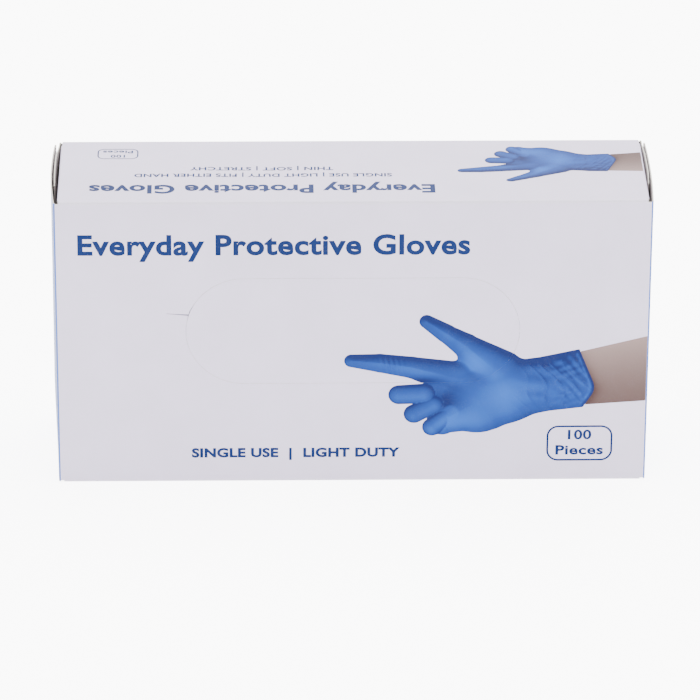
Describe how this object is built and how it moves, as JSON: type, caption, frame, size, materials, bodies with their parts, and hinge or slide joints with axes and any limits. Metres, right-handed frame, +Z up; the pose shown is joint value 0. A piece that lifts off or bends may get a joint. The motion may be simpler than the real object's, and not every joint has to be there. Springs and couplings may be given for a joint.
{
  "type": "glove dispenser carton",
  "caption": "Folding board dispenser carton for disposable gloves, with a tear-out oval window in its large face and glued flaps at both ends.",
  "frame": {"origin": "middle of the underside, where the carton lies on its long narrow side", "axes": "+X along the carton's length, -Y out of the window face, +Z up"},
  "size_m": [0.2432, 0.06, 0.126],
  "materials": {
    "printed_board": "white coated board with blue print",
    "end_board": "coated board printed blue",
    "window_board": "white coated board with blue print",
    "plain_board": "uncoated white board",
    "glue": "dried hot glue",
    "glove_film": "thin textured nitrile film"
  },
  "bodies": {
    "carton": {"front_panel": "printed_board", "back_panel": "printed_board", "top_panel": "printed_board", "bottom_panel": "printed_board", "glue_tab": "plain_board", "seam_glue": "glue", "gloves_01_10": "glove_film", "gloves_11_20": "glove_film", "gloves_21_30": "glove_film", "gloves_31_40": "glove_film", "gloves_41_50": "glove_film", "gloves_51_60": "glove_film", "gloves_61_70": "glove_film", "gloves_71_80": "glove_film", "gloves_81_90": "glove_film", "gloves_91_100": "glove_film"},
    "window": {"window_panel": "window_board"},
    "left_outer": {"left_outer_flap": "end_board"},
    "left_inner": {"left_inner_flap": "plain_board", "left_glue_spots": "glue"},
    "left_dust_top": {"left_top_dust_flap": "plain_board"},
    "left_dust_bottom": {"left_bottom_dust_flap": "plain_board"},
    "right_outer": {"right_outer_flap": "end_board"},
    "right_inner": {"right_inner_flap": "plain_board", "right_glue_spots": "glue"},
    "right_dust_top": {"right_top_dust_flap": "plain_board"},
    "right_dust_bottom": {"right_bottom_dust_flap": "plain_board"}
  },
  "joints": [
    {"name": "window_tear_out", "type": "slide", "parent": "carton", "child": "window", "axis": [0, -1, 0], "range_m": [0, 0.06]},
    {"name": "left_outer_fold", "type": "hinge", "parent": "carton", "child": "left_outer", "pos_m": [-0.11978, -0.02977, 0.063], "axis": [0, 0, 1], "range_deg": [0, 160]},
    {"name": "left_inner_fold", "type": "hinge", "parent": "carton", "child": "left_inner", "pos_m": [-0.11897, 0.02977, 0.063], "axis": [0, 0, -1], "range_deg": [0, 88]},
    {"name": "left_top_dust_fold", "type": "hinge", "parent": "carton", "child": "left_dust_top", "pos_m": [-0.11818, 0, 0.12577], "axis": [0, 1, 0], "range_deg": [0, 35.2]},
    {"name": "left_bottom_dust_fold", "type": "hinge", "parent": "carton", "child": "left_dust_bottom", "pos_m": [-0.11818, 0, 0.00022], "axis": [0, -1, 0], "range_deg": [0, 35.2]},
    {"name": "right_outer_fold", "type": "hinge", "parent": "carton", "child": "right_outer", "pos_m": [0.11978, -0.02977, 0.063], "axis": [0, 0, -1], "range_deg": [0, 160]},
    {"name": "right_inner_fold", "type": "hinge", "parent": "carton", "child": "right_inner", "pos_m": [0.11897, 0.02977, 0.063], "axis": [0, 0, 1], "range_deg": [0, 88]},
    {"name": "right_top_dust_fold", "type": "hinge", "parent": "carton", "child": "right_dust_top", "pos_m": [0.11818, 0, 0.12577], "axis": [0, -1, 0], "range_deg": [0, 35.2]},
    {"name": "right_bottom_dust_fold", "type": "hinge", "parent": "carton", "child": "right_dust_bottom", "pos_m": [0.11818, 0, 0.00022], "axis": [0, 1, 0], "range_deg": [0, 35.2]}
  ],
  "couplings": [
    {"joint": "left_inner_fold", "follows": "left_outer_fold", "ratio": 0.55},
    {"joint": "left_top_dust_fold", "follows": "left_outer_fold", "ratio": 0.22},
    {"joint": "left_bottom_dust_fold", "follows": "left_outer_fold", "ratio": 0.22},
    {"joint": "right_inner_fold", "follows": "right_outer_fold", "ratio": 0.55},
    {"joint": "right_top_dust_fold", "follows": "right_outer_fold", "ratio": 0.22},
    {"joint": "right_bottom_dust_fold", "follows": "right_outer_fold", "ratio": 0.22}
  ]
}
